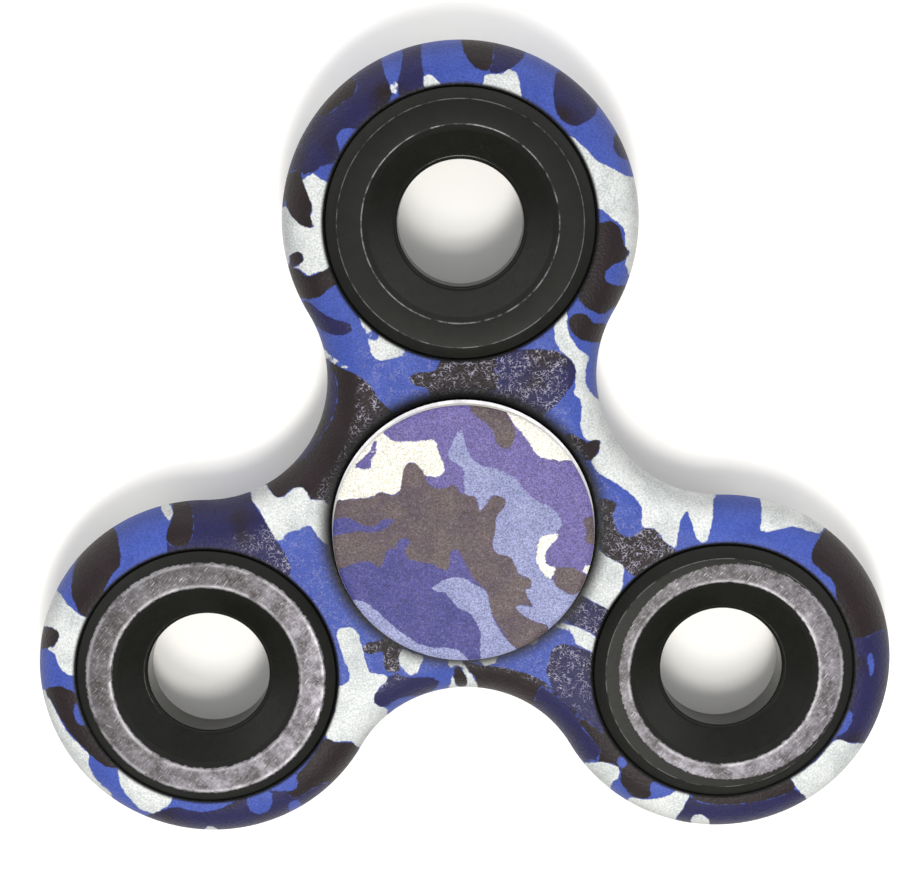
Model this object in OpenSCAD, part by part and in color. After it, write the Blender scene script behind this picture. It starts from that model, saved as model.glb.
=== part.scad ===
// Three-lobed fidget spinner. A moulded body holds a 608 ball bearing in its middle and a heavy ring
// in each lobe. Two finger caps are pressed into the bearing, so the body spins while they are held.
// The origin is the middle of the bearing. Z is the spin axis, and one lobe points along +Y.

/* [Body] */
// Thickness of the body
body_t = 5.8; // [4.8:0.1:7]
// Wall round the ring weight, at the end of a lobe
lobe_wall = 3.8; // [3:0.1:6]
// Wall between the bearing and a ring weight
bridge_wall = 3.4; // [2:0.1:8]
// Wall between the bearing and the hollow of the waist
waist_wall = 3.7; // [3:0.1:6]
// How much larger than half the thickness the radius of the outer edge is
edge_extra = 0.5; // [0.1:0.1:1]
// Rounding of the mouth of each bore
mouth_r = 0.4; // [0.2:0.05:0.8]

/* [Ring weights] */
// Outside diameter of a ring weight
weight_od = 22; // [18:0.1:27]
// Diameter of the finger hole through it
weight_hole = 10.4; // [9:0.1:12]
// How far each of its two lands stands out of the body
weight_proud = 0.6; // [0.2:0.1:1.2]
// Width of the flat land
land_w = 2; // [1.6:0.1:2.4]
// Width and depth of the outer chamfer
weight_chamfer = [0.95, 0.6];
// Width and depth of the step inside the land
step_size = [0.6, 0.45];
// Depth of the dish, from the land down to the lip of the hole
dish_depth = 1.8; // [1.4:0.1:2.2]
// Rounding of the lip
lip_r = 0.4; // [0.2:0.05:0.5]

/* [Bearing] */
// Outside diameter
bearing_od = 22; // [21:0.1:27]
// Bore
bearing_bore = 8; // [6.6:0.1:9.6]
// Width
bearing_w = 7; // [6.6:0.1:9]
// Diameter of a ball
ball_d = 3.969; // [3.3:0.001:4.8]
// Radius of a race groove, as a share of the ball's diameter
groove_conformity = 0.52; // [0.51:0.005:0.53]
// Height of the gap between the two races' shoulders
shoulder_gap = 2.9; // [2.6:0.1:3.2]
// Chamfer on the outer corners of the races
race_chamfer = 0.3; // [0.1:0.05:0.4]

/* [Cage] */
// Thickness of the cage's strip
cage_t = 0.4; // [0.3:0.05:0.5]
// Thickness of a rivet's head
rivet_head_t = 0.25; // [0.15:0.05:0.4]

/* [Shields] */
// Thickness of a shield
shield_t = 0.3; // [0.2:0.05:0.4]
// How far the inner part of a shield is pressed inwards
shield_dish = 0.15; // [0.05:0.05:0.3]
// Diameter of the snap ring's wire
snap_wire_d = 0.36; // [0.3:0.02:0.4]
// Opening of the snap ring, in degrees
snap_opening = 24; // [10:1:40]

/* [Caps] */
// Diameter of a finger cap
cap_d = 21.7; // [18:0.1:26]
// Thickness of its disc
cap_t = 1.2; // [1:0.1:2.4]
// Rounding of the disc's outer edge
cap_edge_r = 0.45; // [0.2:0.05:0.5]
// Width of the shoulder that stands on the inner race, outside its bore
cap_shoulder_w = 1.5; // [1:0.1:1.8]
// Gap between the disc and the bearing or body, whichever is thicker
cap_lift = 0.5; // [0.4:0.1:1]
// Diameter of the locating pin inside the stems
cap_pin_d = 3; // [2:0.1:4]
// Length of the locating pin
cap_pin_len = 2.4; // [1.5:0.1:2.8]

/* [Fits] */
// Radial gap of each pressed fit
press_gap = 0.01; // [0:0.005:0.02]
// Gap between a ball and the bottom of its groove
ball_gap = 0.01; // [0.005:0.005:0.02]
// Gap between a ball and its pocket in the cage
pocket_gap = 0.1; // [0.05:0.05:0.2]
// Gap between a shield and the shoulder of the inner race
shield_gap = 0.2; // [0.1:0.05:0.4]
// Gap between the cage and the races' shoulders
cage_gap = 0.5; // [0.3:0.05:0.6]
// Gap around the locating pin, and between the two stems' ends
stem_gap = 0.05; // [0.02:0.01:0.1]

/* [Hidden] */
$fn = 96;

lobe_count = 3;
ball_count = 7;
lobe_step = 360 / lobe_count;
top_lobe = 90;
over = 1; // how far a cutter passes the face that it cuts
// How far an arc passes its tangent, so that it crosses the surface that it runs into: at the faces,
// and where a waist runs into a lobe
face_cross = 0.004;
waist_cross = 0.05;

lobe_r = weight_od / 2 + lobe_wall;
lobe_distance = (bearing_od + weight_od) / 2 + bridge_wall;
// The outer edge: two arcs that meet at the parting line, each running into its own face
edge_r = body_t / 2 + edge_extra;
edge_drop = edge_extra - face_cross;
edge_w = sqrt(pow(edge_r, 2) - pow(edge_drop, 2));
// The waist's arc touches two neighbouring lobes and comes within waist_near of the spin axis
waist_near = bearing_od / 2 + waist_wall;
waist_r = (pow(waist_near, 2) + pow(lobe_distance, 2) - waist_near * lobe_distance - pow(lobe_r, 2))
    / (2 * lobe_r + lobe_distance - 2 * waist_near);
waist_distance = waist_near + waist_r;
waist_cutter_r = waist_r + waist_cross;

bearing_seat_r = bearing_od / 2 + press_gap;
weight_seat_r = weight_od / 2 + press_gap;

pitch_r = (bearing_od + bearing_bore) / 4;
ball_r = ball_d / 2;
groove_r = groove_conformity * ball_d;
groove_shift = groove_r - ball_r - ball_gap;
inner_shoulder_r = pitch_r - shoulder_gap / 2;
outer_shoulder_r = pitch_r + shoulder_gap / 2;

// The shield lies on a ledge in the outer race, and the snap ring lies on the shield
ledge_w = 0.55;
ledge_r = outer_shoulder_r + ledge_w;
snap_sink = 0.1; // how deep the wire lies under the race's face
snap_gap = 0.02; // gap between the wire and its groove
snap_z = bearing_w / 2 - snap_sink - snap_wire_d / 2;
snap_r = ledge_r - snap_wire_d / 4;
snap_groove_r = snap_wire_d / 2 + snap_gap;
ledge_z = snap_z - snap_wire_d / 2 - shield_t;
shield_inner_r = inner_shoulder_r + shield_gap;
shield_bend_w = 0.6; // from the race's shoulder in to where the shield's pressed part starts
shield_slope_w = 0.3; // width of the slope between the two levels
shield_flat_r = outer_shoulder_r - shield_bend_w;

pocket_r = ball_r + pocket_gap;
pocket_shell_r = pocket_r + cage_t;
cage_top = ledge_z - shield_dish - pocket_gap;
cage_inner_r = inner_shoulder_r + cage_gap;
cage_outer_r = outer_shoulder_r - cage_gap;
ball_step = 360 / ball_count;
// The flat between two pockets sets the size of a rivet's head, and the head sets its shank
flat_half = pitch_r * sin(ball_step / 2) - pocket_shell_r;
head_share = 0.7;
shank_share = 0.6;
rivet_head_r = head_share * flat_half;
rivet_r = shank_share * rivet_head_r;

cap_r = cap_d / 2;
stem_r = bearing_bore / 2 - press_gap;
stem_end = stem_gap / 2;
pin_end = stem_end - cap_pin_len;
cap_under = max(bearing_w, body_t) / 2 + cap_lift;
cap_top = cap_under + cap_t;
stem_chamfer = 0.3;

body_colour = "royalblue";
weight_colour = "darkslategray";
race_colour = "silver";
ball_colour = "gainsboro";
cage_colour = "darkgray";
shield_colour = "lightgray";
cap_colour = "ivory";

// Puts its children on one lobe's axis
module at_lobe(i)
    rotate(top_lobe + i * lobe_step) translate([lobe_distance, 0]) children();

// Puts its children in the place of one ball, or halfway to the next
module at_ball(i, half = 0)
    rotate(top_lobe + (i + half) * ball_step) translate([pitch_r, 0]) children();

// Flips its children for the back of the spinner
module on_side(side)
    mirror([0, 0, side > 0 ? 0 : 1]) children();

// The rounded edge seen in section, between the two faces, about its own centre line
module edge_section()
    intersection() {
        translate([0, edge_drop]) circle(edge_r);
        translate([0, -edge_drop]) circle(edge_r);
    }

module lobe()
    rotate_extrude()
        intersection() {
            translate([0, -body_t / 2]) square([lobe_r + over, body_t]);
            union() {
                translate([0, -body_t / 2]) square([lobe_r - edge_w, body_t]);
                translate([lobe_r - edge_w, 0]) edge_section();
            }
        }

// What is cut from between two lobes: a spool with the edge's shape round it
module waist_cutter()
    rotate_extrude()
        difference() {
            translate([0, -body_t]) square([waist_cutter_r + edge_w, 2 * body_t]);
            translate([waist_cutter_r + edge_w, 0]) edge_section();
        }

// A bore with a rounded mouth at each face
module seat_cutter(r) {
    mouth_z = body_t / 2 - mouth_r + face_cross;
    rotate_extrude()
        difference() {
            translate([0, -body_t / 2 - over]) square([r + mouth_r, body_t + 2 * over]);
            translate([r, -mouth_z]) square([mouth_r + over, 2 * mouth_z]);
            for (side = [1, -1]) translate([r + mouth_r, side * mouth_z]) circle(mouth_r);
        }
}

// Corners of the plate between the lobes: lobe and waist centres in turn
function plate_corners() = [
    for (i = [0 : lobe_count - 1], k = [0, 1])
        let (a = top_lobe + (i + k / 2) * lobe_step, d = k == 0 ? lobe_distance : waist_distance)
            [d * cos(a), d * sin(a)]
];

module plate()
    difference() {
        translate([0, 0, -body_t / 2]) linear_extrude(body_t) polygon(plate_corners());
        for (i = [0 : lobe_count - 1])
            rotate(top_lobe + (i + 0.5) * lobe_step) translate([waist_distance, 0]) waist_cutter();
    }

module body()
    color(body_colour)
        difference() {
            union() {
                plate();
                for (i = [0 : lobe_count - 1]) at_lobe(i) lobe();
            }
            for (i = [0 : lobe_count - 1]) at_lobe(i) seat_cutter(weight_seat_r);
            seat_cutter(bearing_seat_r);
        }

// What rounds a lip: the corner outside a circle that touches the hole's wall and the lip's top
module lip_cutter(hole_r, lip_z)
    difference() {
        translate([hole_r - over, lip_z - lip_r]) square([lip_r + over, lip_r + over]);
        translate([hole_r + lip_r, lip_z - lip_r]) circle(lip_r);
    }

// A ring weight's section: hole, lips, dishes, steps, lands and chamfers, the same on both faces
module weight_section() {
    hole_r = weight_hole / 2;
    outer_r = weight_od / 2;
    land_z = body_t / 2 + weight_proud;
    lip_z = land_z - dish_depth;
    land_outer_r = outer_r - weight_chamfer.x;
    land_inner_r = land_outer_r - land_w;
    upper = [
        [hole_r, lip_z], [hole_r + lip_r, lip_z],
        [land_inner_r - step_size.x, land_z - step_size.y],
        [land_inner_r, land_z], [land_outer_r, land_z],
        [outer_r, land_z - weight_chamfer.y]
    ];
    difference() {
        polygon([each upper, for (i = [len(upper) - 1 : -1 : 0]) [upper[i].x, -upper[i].y]]);
        lip_cutter(hole_r, lip_z);
        mirror([0, 1]) lip_cutter(hole_r, lip_z);
    }
}

module weight(i)
    color(weight_colour) at_lobe(i) rotate_extrude() weight_section();

module outer_race() {
    outer_r = bearing_od / 2;
    face = bearing_w / 2;
    color(race_colour)
        rotate_extrude()
            difference() {
                polygon([
                    [outer_shoulder_r, ledge_z], [ledge_r, ledge_z], [ledge_r, face],
                    [outer_r - race_chamfer, face], [outer_r, face - race_chamfer],
                    [outer_r, race_chamfer - face], [outer_r - race_chamfer, -face],
                    [ledge_r, -face], [ledge_r, -ledge_z], [outer_shoulder_r, -ledge_z]
                ]);
                translate([pitch_r - groove_shift, 0]) circle(groove_r);
                for (side = [1, -1]) translate([snap_r, side * snap_z]) circle(snap_groove_r);
            }
}

module inner_race() {
    bore_r = bearing_bore / 2;
    face = bearing_w / 2;
    color(race_colour)
        rotate_extrude()
            difference() {
                polygon([
                    [bore_r, face - race_chamfer], [bore_r + race_chamfer, face],
                    [inner_shoulder_r, face], [inner_shoulder_r, -face],
                    [bore_r + race_chamfer, -face], [bore_r, race_chamfer - face]
                ]);
                translate([pitch_r + groove_shift, 0]) circle(groove_r);
            }
}

module ball(i)
    color(ball_colour) at_ball(i) sphere(ball_r);

// Half of the cage: a flat strip that bulges round each ball and is riveted between them
module cage_half(side)
    color(cage_colour)
        on_side(side)
            difference() {
                intersection() {
                    union() {
                        cylinder(r = cage_outer_r + over, h = cage_t);
                        for (i = [0 : ball_count - 1]) at_ball(i) sphere(pocket_shell_r);
                    }
                    difference() {
                        cylinder(r = cage_outer_r, h = cage_top);
                        translate([0, 0, -over]) cylinder(r = cage_inner_r, h = cage_top + 2 * over);
                    }
                }
                for (i = [0 : ball_count - 1]) at_ball(i) sphere(pocket_r);
                for (i = [0 : ball_count - 1])
                    at_ball(i, 0.5) cylinder(r = rivet_r + press_gap, h = 4 * cage_t, center = true);
            }

module cage_rivets()
    color(cage_colour)
        for (i = [0 : ball_count - 1])
            at_ball(i, 0.5) {
                cylinder(r = rivet_r, h = 2 * cage_t, center = true);
                for (side = [1, -1])
                    on_side(side)
                        translate([0, 0, cage_t])
                            cylinder(r1 = rivet_head_r, r2 = rivet_r, h = rivet_head_t);
            }

module shield(side)
    color(shield_colour)
        on_side(side)
            rotate_extrude()
                polygon([
                    [shield_inner_r, ledge_z - shield_dish],
                    [shield_flat_r, ledge_z - shield_dish],
                    [shield_flat_r + shield_slope_w, ledge_z],
                    [ledge_r - press_gap, ledge_z],
                    [ledge_r - press_gap, ledge_z + shield_t],
                    [shield_flat_r + shield_slope_w, ledge_z + shield_t],
                    [shield_flat_r, ledge_z + shield_t - shield_dish],
                    [shield_inner_r, ledge_z + shield_t - shield_dish]
                ]);

module snap_ring(side)
    color(race_colour)
        on_side(side)
            rotate(top_lobe + snap_opening / 2)
                rotate_extrude(angle = 360 - snap_opening)
                    translate([snap_r, snap_z]) circle(snap_wire_d / 2);

// Section of a cap: disc with a rounded edge, shoulder on the inner race, and stem in its bore
module cap_section() {
    face = bearing_w / 2;
    stem_top = cap_under + cap_t / 2;
    translate([0, cap_under]) square([cap_r - cap_edge_r, cap_t]);
    translate([0, cap_under]) square([cap_r, cap_t - cap_edge_r]);
    translate([cap_r - cap_edge_r, cap_top - cap_edge_r]) circle(cap_edge_r);
    translate([0, face]) square([bearing_bore / 2 + cap_shoulder_w, stem_top - face]);
    polygon([
        [0, stem_end], [stem_r - stem_chamfer, stem_end], [stem_r, stem_end + stem_chamfer],
        [stem_r, stem_top], [0, stem_top]
    ]);
}

module cap_front()
    color(cap_colour) {
        rotate_extrude() cap_section();
        translate([0, 0, pin_end]) cylinder(r = cap_pin_d / 2, h = cap_pin_len + cap_lift);
    }

module cap_back()
    color(cap_colour)
        difference() {
            on_side(-1) rotate_extrude() cap_section();
            translate([0, 0, pin_end - stem_gap])
                cylinder(r = cap_pin_d / 2 + stem_gap, h = cap_pin_len + over);
        }

body();
weight(0);  // weight_top
weight(1);  // weight_left
weight(2);  // weight_right
outer_race();
inner_race();
ball(0);  // ball_1
ball(1);  // ball_2
ball(2);  // ball_3
ball(3);  // ball_4
ball(4);  // ball_5
ball(5);  // ball_6
ball(6);  // ball_7
cage_half(1);  // cage_upper
cage_half(-1);  // cage_lower
cage_rivets();
shield(1);  // shield_front
shield(-1);  // shield_back
snap_ring(1);  // snap_ring_front
snap_ring(-1);  // snap_ring_back
cap_front();
cap_back();
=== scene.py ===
import bpy
import numpy as np
from math import atan2, cos, hypot, pi, radians, sin, sqrt
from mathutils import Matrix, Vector


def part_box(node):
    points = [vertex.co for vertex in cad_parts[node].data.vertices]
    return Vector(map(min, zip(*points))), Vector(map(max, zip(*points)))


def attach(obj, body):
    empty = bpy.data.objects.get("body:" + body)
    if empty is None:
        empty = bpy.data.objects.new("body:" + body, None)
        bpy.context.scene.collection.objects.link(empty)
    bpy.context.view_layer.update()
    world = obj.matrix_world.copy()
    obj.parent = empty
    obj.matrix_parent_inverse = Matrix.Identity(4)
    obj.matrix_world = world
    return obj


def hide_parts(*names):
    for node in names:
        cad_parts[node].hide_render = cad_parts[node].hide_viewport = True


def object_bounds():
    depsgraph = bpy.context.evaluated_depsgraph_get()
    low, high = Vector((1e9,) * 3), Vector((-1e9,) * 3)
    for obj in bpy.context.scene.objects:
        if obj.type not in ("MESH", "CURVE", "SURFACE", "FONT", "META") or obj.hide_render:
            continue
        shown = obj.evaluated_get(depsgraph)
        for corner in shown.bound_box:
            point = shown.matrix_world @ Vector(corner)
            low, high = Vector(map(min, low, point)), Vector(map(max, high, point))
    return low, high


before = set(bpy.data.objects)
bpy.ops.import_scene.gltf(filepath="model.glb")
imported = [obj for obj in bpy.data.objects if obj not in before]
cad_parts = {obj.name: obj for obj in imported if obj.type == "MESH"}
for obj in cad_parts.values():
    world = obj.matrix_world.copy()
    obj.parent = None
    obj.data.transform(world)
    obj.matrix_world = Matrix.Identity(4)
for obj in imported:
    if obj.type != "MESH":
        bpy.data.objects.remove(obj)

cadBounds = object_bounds()
mm = 0.001
print("frame loaded")


# places that the frame gives

def boxOf(node):
    low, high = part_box(node)
    return Vector(low), Vector(high)


def whole(length):  # to the nearest 0.05 mm, because a box of facets is a little short of the round part
    return round(length / (0.05 * mm)) * 0.05 * mm


lobeNodes = ["weight_top", "weight_left", "weight_right"]
bodyHigh = boxOf("body")[1]
weightHigh = boxOf("weight_top")[1]
capHigh = boxOf("cap_front")[1]
raceHigh = boxOf("outer_race")[1]

halfBody = whole(bodyHigh.z)
lobeDistance = whole(sum(boxOf("weight_top"), Vector()).y / 2)
lobeTurns = [radians(turn) for turn in (90, 210, 330)]
lobeCentres = [Vector((lobeDistance * cos(turn), lobeDistance * sin(turn), 0)) for turn in lobeTurns]
lobeRadius = whole(bodyHigh.y - lobeDistance)
weightRadius = whole(weightHigh.x)
weightTop = whole(weightHigh.z)
capRadius = whole(capHigh.x)
capTop = whole(capHigh.z)
bearingRadius = whole(raceHigh.x)
bearingFace = whole(raceHigh.z)


# modelling helpers

def startFresh():  # nothing selected and nothing in edit mode
    if bpy.context.mode != "OBJECT":
        bpy.ops.object.mode_set(mode="OBJECT")
    bpy.ops.object.select_all(action="DESELECT")


def selectOnly(piece):
    startFresh()
    piece.select_set(True)
    bpy.context.view_layer.objects.active = piece


def pickLoops(piece, test):  # selects the edges whose two ends pass the test
    bpy.ops.object.mode_set(mode="OBJECT")
    mesh = piece.data
    for polygon in mesh.polygons:
        polygon.select = False
    for vertex in mesh.vertices:
        vertex.select = bool(test(piece.matrix_world @ vertex.co))
    for edge in mesh.edges:
        edge.select = all(mesh.vertices[i].select for i in edge.vertices)
    bpy.ops.object.mode_set(mode="EDIT")
    bpy.ops.mesh.select_mode(type="EDGE")


def pickFlat(piece, height):  # selects the faces that lie flat at this height, above or below
    bpy.ops.object.mode_set(mode="OBJECT")
    mesh = piece.data
    for item in list(mesh.vertices) + list(mesh.edges):
        item.select = False
    for polygon in mesh.polygons:
        polygon.select = all(abs(abs(mesh.vertices[i].co.z) - height) < 1e-6 for i in polygon.vertices)
    bpy.ops.object.mode_set(mode="EDIT")
    bpy.ops.mesh.select_mode(type="FACE")


def quarter(centre, radius, start, turn, steps=6):  # points along an arc in a section
    angles = [start + turn * i / steps for i in range(steps + 1)]
    return [(centre[0] + radius * cos(angle), centre[1] + radius * sin(angle)) for angle in angles]


def pullRings(centre, profile, steps):  # a lathe: one ring of edges pulled from point to point
    radius, height = profile[0]
    bpy.ops.mesh.select_all(action="DESELECT")
    bpy.ops.mesh.primitive_circle_add(
        vertices=steps, radius=radius, fill_type="NOTHING", location=(centre[0], centre[1], height))
    for goal in profile[1:]:
        bpy.ops.mesh.extrude_region_move(TRANSFORM_OT_translate={"value": (0, 0, goal[1] - height)})
        ratio = goal[0] / radius
        if abs(ratio - 1) > 1e-9:
            bpy.ops.transform.resize(value=(ratio, ratio, 1), center_override=(centre[0], centre[1], goal[1]))
        radius, height = goal


def turnAll(angle):
    bpy.ops.mesh.select_all(action="SELECT")
    bpy.ops.transform.rotate(value=angle, orient_axis="Z", center_override=(0, 0, 0))


def refineFaces(piece, height, longest):  # halves the long edges on the two flat faces until none is left
    for _ in range(8):
        bpy.ops.object.mode_set(mode="OBJECT")
        points = piece.data.vertices
        for item in list(points) + list(piece.data.polygons):
            item.select = False
        found = 0
        for edge in piece.data.edges:
            a, b = points[edge.vertices[0]].co, points[edge.vertices[1]].co
            onFace = abs(abs(a.z) - height) < 1e-6 and abs(a.z - b.z) < 1e-6
            edge.select = onFace and (a - b).length > longest
            found += edge.select
        bpy.ops.object.mode_set(mode="EDIT")
        bpy.ops.mesh.select_mode(type="EDGE")
        if not found:
            return
        bpy.ops.mesh.subdivide(number_cuts=1)
        pickFlat(piece, height)
        bpy.ops.mesh.quads_convert_to_tris()
        bpy.ops.mesh.beautify_fill()


def startPiece(name):  # an empty mesh, open in edit mode
    startFresh()
    bpy.ops.mesh.primitive_plane_add(size=1 * mm, enter_editmode=True)
    bpy.ops.mesh.delete(type="VERT")
    piece = bpy.context.active_object
    piece.name = name
    piece.data.name = name
    return piece


def weld(threshold=1e-6):
    bpy.ops.mesh.select_all(action="SELECT")
    bpy.ops.mesh.remove_doubles(threshold=threshold)
    bpy.ops.mesh.normals_make_consistent(inside=False)


def settle(piece, body, nodes, angle=35):  # smooth shading, origin at zero, and a ride on its body
    selectOnly(piece)
    bpy.ops.object.transform_apply(location=True, rotation=True, scale=True)
    bpy.ops.object.shade_smooth_by_angle(angle=radians(angle))
    bpy.ops.object.modifier_add(type="WEIGHTED_NORMAL")
    piece.modifiers[-1].keep_sharp = True
    bpy.ops.object.modifier_apply(modifier=piece.modifiers[-1].name)
    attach(piece, body)
    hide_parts(*nodes)
    startFresh()


# camera

cameraPlace = {
    "location": (-0.00012, 0.03405, 0.15128),
    "turn": (-0.178, -0.002, -0.010),
    "lens": 70.75,
}


def addCamera():
    startFresh()
    bpy.ops.object.camera_add(location=cameraPlace["location"], rotation=cameraPlace["turn"])
    camera = bpy.context.active_object
    camera.data.lens = cameraPlace["lens"]
    camera.data.sensor_width = 36
    camera.data.clip_start = 0.005
    bpy.context.scene.camera = camera


addCamera()
print("camera set")


# body

bodyShape = {
    "edgeExtra": 0.5 * mm,  # how far the edge's radius passes half the thickness
    "waistWall": 3.7 * mm,
    "mouth": 0.4 * mm,
    "seatGap": 0.01 * mm,
    "lobeSteps": 120,
    "waistSteps": 48,
    "edgeSteps": 12,
    "boreSteps": 144,
    "fillTurn": 0.237,  # the body is turned a little for the fill, because points in rows leave gaps
    "longest": 0.9 * mm,  # longest edge left on a flat face, so that the pattern has points to sit on
}


def bodyOutline():  # radius and distance of the waist arcs, and half the turn of a lobe's arc
    near = bearingRadius + bodyShape["waistWall"]
    radius = (near ** 2 + lobeDistance ** 2 - near * lobeDistance - lobeRadius ** 2) / (
        2 * lobeRadius + lobeDistance - 2 * near)
    distance = near + radius
    half = atan2(distance * sin(pi / 3), distance * cos(pi / 3) - lobeDistance)
    return distance, half


def makeBody():
    waistDistance, lobeHalf = bodyOutline()
    drop = bodyShape["edgeExtra"]
    edgeRadius = halfBody + drop
    edgeWidth = sqrt(edgeRadius ** 2 - drop ** 2)
    arc = atan2(edgeWidth, drop)
    piece = startPiece("spinner_body")
    # the rounded edge in section, where the first lobe meets the waist on its right
    start = pi / 2 - lobeHalf
    along = Vector((cos(start), sin(start), 0))
    axis = (sin(start), -cos(start), 0)
    foot = lobeCentres[0] + along * (lobeRadius - edgeWidth)
    bpy.ops.mesh.primitive_plane_add(size=0.1 * mm, location=(foot.x, foot.y, halfBody))
    bpy.ops.mesh.merge(type="CENTER")
    for height in (-drop, drop):
        bpy.ops.mesh.spin(
            steps=bodyShape["edgeSteps"], angle=arc, axis=axis, center=(foot.x, foot.y, height))
    # the section is swept round the lobes and the waists in turn
    bpy.ops.mesh.select_all(action="SELECT")
    for i, centre in enumerate(lobeCentres):
        bpy.ops.mesh.spin(
            steps=bodyShape["lobeSteps"], angle=-2 * lobeHalf, axis=(0, 0, 1), center=(centre.x, centre.y, 0))
        middle = pi / 2 + pi / 3 + i * 2 * pi / 3
        bpy.ops.mesh.spin(
            steps=bodyShape["waistSteps"], angle=2 * lobeHalf - 2 * pi / 3, axis=(0, 0, 1),
            center=(waistDistance * cos(middle), waistDistance * sin(middle), 0))
    weld(0.01 * mm)  # the sweep's end meets its start
    # the four bores, each with a rounded mouth at both faces
    mouth = bodyShape["mouth"]
    level = halfBody - mouth
    for centre, radius in [(Vector((0, 0, 0)), bearingRadius)] + [(c, weightRadius) for c in lobeCentres]:
        radius += bodyShape["seatGap"]
        upper = quarter((radius + mouth, level), mouth, pi / 2, pi / 2)
        pullRings(centre, upper + [(r, -z) for r, z in reversed(upper)], bodyShape["boreSteps"])
    weld()
    for face in (halfBody, -halfBody):
        turnAll(bodyShape["fillTurn"])
        pickLoops(piece, lambda co: abs(co.z - face) < 1e-6)
        bpy.ops.mesh.fill(use_beauty=True)
        turnAll(-bodyShape["fillTurn"])
    refineFaces(piece, halfBody, bodyShape["longest"])
    weld()
    settle(piece, "rotor", ["body"], angle=20)
    return piece


body = makeBody()
print("body made")


# ring weights

weightShape = {
    "hole": 5.2 * mm,
    "land": (8.05 * mm, 10.05 * mm),
    "chamferDrop": 0.6 * mm,
    "step": (0.6 * mm, 0.45 * mm),
    "dish": 1.8 * mm,
    "lip": 0.4 * mm,
    "soften": 0.07 * mm,  # the small radius that grinding leaves on each corner
    "steps": 160,
}


def makeWeight():  # one ring about the origin
    hole, lip, step = weightShape["hole"], weightShape["lip"], weightShape["step"]
    inner, outer = weightShape["land"]
    lipTop = weightTop - weightShape["dish"]
    corners = [
        (inner - step[0], weightTop - step[1]), (inner, weightTop), (outer, weightTop),
        (weightRadius, weightTop - weightShape["chamferDrop"]),
    ]
    upper = quarter((hole + lip, lipTop - lip), lip, pi, -pi / 2) + corners
    piece = startPiece("ring_weight_top")
    pullRings((0, 0), upper + [(r, -z) for r, z in reversed(upper)] + [upper[0]], weightShape["steps"])
    weld()
    pickLoops(piece, lambda co: any(
        abs(hypot(co.x, co.y) - r) < 1e-6 and abs(abs(co.z) - z) < 1e-6 for r, z in corners))
    bpy.ops.mesh.bevel(offset=weightShape["soften"], segments=3, profile=0.5, affect="EDGES")
    return piece


def placeWeights():
    first = makeWeight()
    pieces = [first]
    for side in ("left", "right"):
        selectOnly(first)
        bpy.ops.object.duplicate(linked=False)
        copy = bpy.context.active_object
        copy.name = "ring_weight_" + side
        copy.data.name = copy.name
        pieces.append(copy)
    for piece, centre, node in zip(pieces, lobeCentres, lobeNodes):
        selectOnly(piece)
        bpy.ops.transform.translate(value=(centre.x, centre.y, 0))
        settle(piece, "rotor", [node])
    return pieces


weights = placeWeights()
print("ring weights made")


# finger caps

capShape = {
    "thick": 1.2 * mm,
    "edge": 0.45 * mm,
    "shoulder": 5.5 * mm,
    "stem": 3.99 * mm,
    "stemEnd": 0.025 * mm,
    "stemChamfer": 0.3 * mm,
    "pin": (1.5 * mm, 2.4 * mm),
    "gap": 0.05 * mm,
    "soften": 0.12 * mm,
    "steps": 144,
    "faceRings": 26,
}


def makeCap(name, side):  # side is 1 for the front cap with the pin, and -1 for the back cap with its socket
    edge, stem, end = capShape["edge"], capShape["stem"], capShape["stemEnd"]
    under = capTop - capShape["thick"]
    pin, pinLength = capShape["pin"]
    flat = capRadius - edge
    outline = [(flat * (i + 1) / capShape["faceRings"], capTop) for i in range(capShape["faceRings"] - 1)]
    outline += quarter((flat, capTop - edge), edge, pi / 2, -pi / 2, 8)
    outline += [
        (capRadius, under), (capShape["shoulder"], under), (capShape["shoulder"], bearingFace),
        (stem, bearingFace), (stem, end + capShape["stemChamfer"]), (stem - capShape["stemChamfer"], end),
    ]
    if side > 0:
        outline += [(pin, end), (pin, end - pinLength)]
    else:
        pin += capShape["gap"]
        outline += [(pin, end), (pin, pinLength + end)]
    piece = startPiece(name)
    pullRings((0, 0), [(r, z * side) for r, z in outline], capShape["steps"])
    bpy.ops.mesh.edge_face_add()  # the end of the pin or the socket
    pickLoops(piece, lambda co: abs(co.z - capTop * side) < 1e-6 and hypot(co.x, co.y) < outline[0][0] + 1e-6)
    bpy.ops.mesh.edge_face_add()
    weld()
    pickLoops(piece, lambda co: abs(hypot(co.x, co.y) - capRadius) < 1e-6 and abs(co.z - under * side) < 1e-6)
    bpy.ops.mesh.bevel(offset=capShape["soften"], segments=3, profile=0.5, affect="EDGES")
    return piece


frontCap = makeCap("finger_cap_front", 1)
settle(frontCap, "hub", ["cap_front"])
backCap = makeCap("finger_cap_back", -1)
settle(backCap, "hub", ["cap_back"])
print("caps made")


# the printed pattern

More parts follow.
